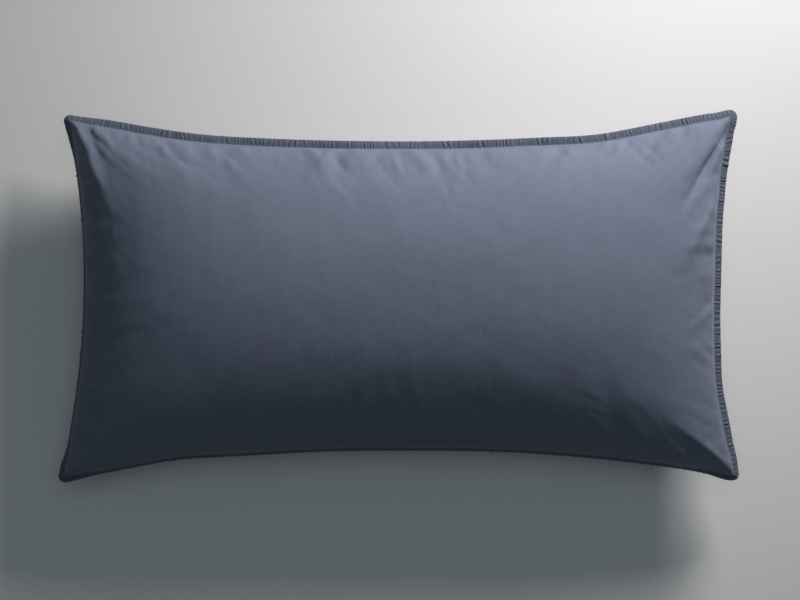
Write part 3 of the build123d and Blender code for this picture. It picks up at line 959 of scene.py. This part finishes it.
class Graph:
    """A short way to write a material's nodes."""

    def __init__(self, name, rough, sheen=0.0, sheen_rough=0.5, sheen_tint=(1, 1, 1), specular=0.3):
        self.material = bpy.data.materials.new(name)
        self.material.use_nodes = True
        self.tree = self.material.node_tree
        self.shader = self.tree.nodes["Principled BSDF"]
        tint = (*sheen_tint, 1)
        self.feed(self.shader, {"Roughness": rough, "Specular IOR Level": specular})
        self.feed(self.shader, {"Sheen Weight": sheen, "Sheen Roughness": sheen_rough, "Sheen Tint": tint})

    def feed(self, node, inputs):
        """Sets a node's sockets to numbers or colours, or links other nodes' outputs to them."""
        for name, value in inputs.items():
            if isinstance(value, (int, float, tuple)):
                node.inputs[name].default_value = value
            elif value is not None:
                self.tree.links.new(value, node.inputs[name])

    def node(self, kind, inputs, **settings):
        """The outputs of a new node."""
        made = self.tree.nodes.new(kind)
        for key, value in settings.items():
            setattr(made, key, value)
        self.feed(made, inputs)
        return made.outputs

    def math(self, operation, a, b=None):
        return self.node("ShaderNodeMath", {0: a, 1: b}, operation=operation)[0]

    def vector_math(self, operation, a, b):
        return self.node("ShaderNodeVectorMath", {0: a, 1: b}, operation=operation)[0]

    def noise(self, vector, scale, detail=2.0, roughness=0.5, output="Fac"):
        inputs = {"Vector": vector, "Scale": scale, "Detail": detail, "Roughness": roughness}
        return self.node("ShaderNodeTexNoise", inputs)[output]

    def place(self):
        return self.node("ShaderNodeTexCoord", {})["Object"]

    def axes(self, vector):
        return self.node("ShaderNodeSeparateXYZ", {0: vector})

    def attribute(self, name, output="Vector"):
        return self.node("ShaderNodeAttribute", {}, attribute_name=name)[output]

    def waves(self, along, length):
        """A sine wave of that length, from -1 to 1."""
        return self.math("SINE", self.math("MULTIPLY", along, 2 * math.pi / length))

    def tone(self, colour, factor, low, high):
        """colour times a factor that runs from low to high as the input runs from 0 to 1."""
        scale = self.node("ShaderNodeMapRange", {"Value": factor, "To Min": low, "To Max": high})[0]
        return self.node("ShaderNodeVectorMath", {0: colour, "Scale": scale}, operation="SCALE")[0]

    def wave_tone(self, colour, wave, low, high):
        """The same for a wave that runs from -1 to 1."""
        raised = self.math("ADD", self.math("MULTIPLY", wave, 0.5), 0.5)
        return self.tone(colour, raised, low, high)

    def bump(self, height, distance, strength, normal=None):
        inputs = {"Height": height, "Distance": distance, "Strength": strength, "Normal": normal}
        return self.node("ShaderNodeBump", inputs)[0]

    def weave(self, at, yarn):
        """A plain weave's height: yarns of that width that pass over and under each other."""
        warp, weft, _ = self.axes(at)
        return self.math("MULTIPLY", self.waves(warp, 2 * yarn), self.waves(weft, 2 * yarn))

    def done(self, colour, normal=None):
        self.feed(self.shader, {"Base Color": colour, "Normal": normal})
        return self.material


def percale():
    """Washed percale: a fine plain weave, slubs, mottled dye, the flange's ridges lighter on top as wear and
    darker in their valleys as painted shade, and painted shade over the whole flange.
    """
    g = Graph("washed_percale", 0.8, 0.12, 0.45, (0.78, 0.86, 1.0), 0.25)
    at = g.attribute("cloth")
    slate = (0.135, 0.153, 0.212)
    warp_slub = g.noise(g.vector_math("MULTIPLY", at, (900.0, 16.0, 1.0)), 1.0)
    weft_slub = g.noise(g.vector_math("MULTIPLY", at, (16.0, 900.0, 1.0)), 1.0)
    colour = g.tone(slate, g.noise(at, 7.0, 3.0), 0.9, 1.1)
    colour = g.tone(colour, g.noise(at, 60.0, 4.0, 0.6), 0.93, 1.07)
    colour = g.tone(colour, warp_slub, 0.93, 1.07)
    colour = g.tone(colour, weft_slub, 0.95, 1.05)
    # the flange's ridges: lighter crests as wear, darker valleys as painted shade
    crest_wear_and_shade = g.math("ADD", g.math("MULTIPLY", g.attribute("crest", "Fac"), 0.35), 0.5)
    colour = g.tone(colour, crest_wear_and_shade, 0.62, 1.38)
    # painted shade: the whole flange is darkened to 0.6 of the cloth's colour
    colour = g.tone(colour, g.attribute("flange", "Fac"), 1.0, 0.6)
    normal = g.bump(g.weave(at, 0.42 * MM), 0.05 * MM, 0.6)
    normal = g.bump(g.math("ADD", warp_slub, weft_slub), 0.12 * MM, 0.6, normal)
    normal = g.bump(g.noise(at, 160.0, 3.0), 0.5 * MM, 0.35, normal)
    return g.done(colour, normal)


def plain_cotton(name, colour, yarn, rough, sheen):
    g = Graph(name, rough, sheen, 0.5, (1.0, 0.98, 0.94))
    at = g.attribute("cloth")
    shade = g.tone(colour, g.noise(at, 9.0, 3.0), 0.95, 1.04)
    slub = g.noise(g.vector_math("MULTIPLY", at, (700.0, 14.0, 1.0)), 1.0)
    shade = g.tone(shade, slub, 0.96, 1.03)
    normal = g.bump(g.weave(at, yarn), 0.06 * MM, 0.7)
    normal = g.bump(g.noise(at, 120.0, 3.0), 0.4 * MM, 0.4, normal)
    return g.done(shade, normal)


def thread(name, colour):
    """Twisted thread: fine slanting plies from its own position, and a little mottling."""
    g = Graph(name, 0.6, 0.3, 0.4, (0.9, 0.94, 1.0), 0.35)
    at = g.place()
    x, y, z = g.axes(at)
    plies = g.waves(g.math("ADD", g.math("ADD", x, y), z), 0.45 * MM)
    shade = g.wave_tone(colour, plies, 0.82, 1.12)
    shade = g.tone(shade, g.noise(at, 90.0), 0.9, 1.1)
    return g.done(shade, g.bump(plies, 0.05 * MM, 0.6))


def loose_fill(name, colour, clump, barb):
    """Down or feathers: clumps with fine barbs across them."""
    g = Graph(name, 0.95, 0.5, 0.6, (1.0, 0.99, 0.96), 0.15)
    at = g.place()
    drift = g.vector_math("MULTIPLY", g.noise(at, clump * 0.6, output="Color"), (0.03, 0.03, 0.03))
    warped = g.vector_math("ADD", at, drift)
    cells = g.node("ShaderNodeTexVoronoi", {"Vector": warped, "Scale": clump}, feature="SMOOTH_F1")
    clumps = cells["Distance"]
    barbs = g.noise(warped, barb, 5.0, 0.7)
    shade = g.tone(colour, clumps, 1.03, 0.82)
    shade = g.tone(shade, barbs, 0.9, 1.06)
    normal = g.bump(clumps, 3 * MM, 0.6)
    return g.done(shade, g.bump(barbs, 0.8 * MM, 0.8, normal))


def cord_cotton():
    g = Graph("undyed_cotton_cord", 0.9, 0.35, 0.5, (1.0, 0.96, 0.88), 0.2)
    fibres = g.noise(g.place(), 900.0, 4.0, 0.7)
    shade = g.tone((0.66, 0.61, 0.5), fibres, 0.86, 1.1)
    return g.done(shade, g.bump(fibres, 0.2 * MM, 0.7))


def woven_tape():
    """A label's satin tape, with fine ribs across it and nothing on it."""
    g = Graph("blank_woven_tape", 0.42, 0.15, 0.4, (1, 1, 1), 0.5)
    at = g.attribute("cloth")
    ribs = g.waves(g.axes(at)[0], 4 * MM)
    shade = g.wave_tone((0.72, 0.7, 0.64), ribs, 0.95, 1.03)
    shade = g.tone(shade, g.noise(at, 40.0, 3.0), 0.95, 1.04)
    return g.done(shade, g.bump(ribs, 0.06 * MM, 0.5))


PERCALE = percale()
CASE_THREAD = thread("case_sewing_thread", (0.1, 0.115, 0.165))
WHITE_THREAD = thread("white_sewing_thread", (0.8, 0.79, 0.76))
TICKING = plain_cotton("downproof_ticking", (0.78, 0.77, 0.73), 0.3 * MM, 0.62, 0.15)
CHAMBER = plain_cotton("chamber_cotton", (0.72, 0.7, 0.66), 0.5 * MM, 0.85, 0.25)
DOWN = loose_fill("white_down", (0.86, 0.85, 0.81), 70.0, 400.0)
FEATHER = loose_fill("offwhite_feather", (0.72, 0.68, 0.6), 45.0, 260.0)
CORD = cord_cotton()
TAPE = woven_tape()

case_threads = [topstitch_front, topstitch_back, edge_thread, panel_hem_thread, flap_hem_thread]
for slot, material, pieces in (
    ("case_cotton", PERCALE, [front_panel, back_panel, back_flap]),
    ("case_thread", CASE_THREAD, case_threads),
    ("label_tape", TAPE, [care_label]),
    ("ticking_cotton", TICKING, [ticking_top, ticking_bottom]),
    ("piping_cord_cotton", CORD, [piping_cord]),
    ("ticking_cotton", TICKING, [piping_cover]),
    ("ticking_thread", WHITE_THREAD, [insert_thread]),
    ("label_tape", TAPE, [insert_label]),
    ("down", DOWN, [top_down, bottom_down]),
    ("chamber_cotton", CHAMBER, [sheet_top, sheet_bottom]),
    ("feather", FEATHER, [core]),
):
    for obj in pieces:
        node = obj.name.rpartition("_")[0]  # a piece is named after its node, with one more word
        obj.data.materials.clear()
        obj.data.materials.append(material)
        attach(obj, "root")
        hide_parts(node)

# ---------------- stage, light and camera


def pale_floor(reach):
    corners = [(-reach, -reach, 0), (reach, -reach, 0), (reach, reach, 0), (-reach, reach, 0)]
    floor = mesh_object("floor", corners, [(0, 1, 2, 3)])
    g = Graph("pale_floor", 0.9, specular=0.2)
    cloudy = g.noise(g.place(), 1.3)
    floor.data.materials.append(g.done(g.tone((0.78, 0.755, 0.755), cloudy, 0.98, 1.02)))


def soft_light(name, kind, azimuth, elevation, distance, power, colour):
    """A light that looks at the pillow's middle. Azimuth 0 is from +Y and 90 from +X."""
    light = bpy.data.lights.new(name, kind)
    light.energy, light.color = power, colour
    lamp = bpy.data.objects.new(name, light)
    a, e = math.radians(azimuth), math.radians(elevation)
    out = Vector((math.sin(a) * math.cos(e), math.cos(a) * math.cos(e), math.sin(e)))
    lamp.location = out * distance + Vector((0, 0, 80 * MM))
    lamp.rotation_euler = (-out).to_track_quat("-Z", "Y").to_euler()
    bpy.context.scene.collection.objects.link(lamp)
    return light


pale_floor(6)
key = soft_light("key", "AREA", 31, 23, 1.8, 14, (1.0, 0.985, 0.97))
key.shape, key.size, key.spread = "DISK", 0.7, math.radians(105)
fill = soft_light("fill", "SUN", 10, 82, 3.0, 0.34, (0.78, 0.95, 1.0))
fill.angle = math.radians(50)

world = bpy.data.worlds.new("studio")
world.use_nodes = True
background = world.node_tree.nodes["Background"]
background.inputs["Color"].default_value = (0.78, 0.94, 1.0, 1)
background.inputs["Strength"].default_value = 0.055
bpy.context.scene.world = world
bpy.context.scene.view_settings.view_transform = "Standard"

VIEW_WIDTH = 1057.6 * MM  # what the picture spans at the seam's height
camera_data = bpy.data.cameras.new("camera")
camera_data.lens, camera_data.sensor_width = 100, 36
camera = bpy.data.objects.new("camera", camera_data)
camera_height = VIEW_WIDTH * camera_data.lens / camera_data.sensor_width
camera.location = (0.7 * MM, -7.3 * MM, SEAM_Z + camera_height)
bpy.context.scene.collection.objects.link(camera)
bpy.context.scene.camera = camera
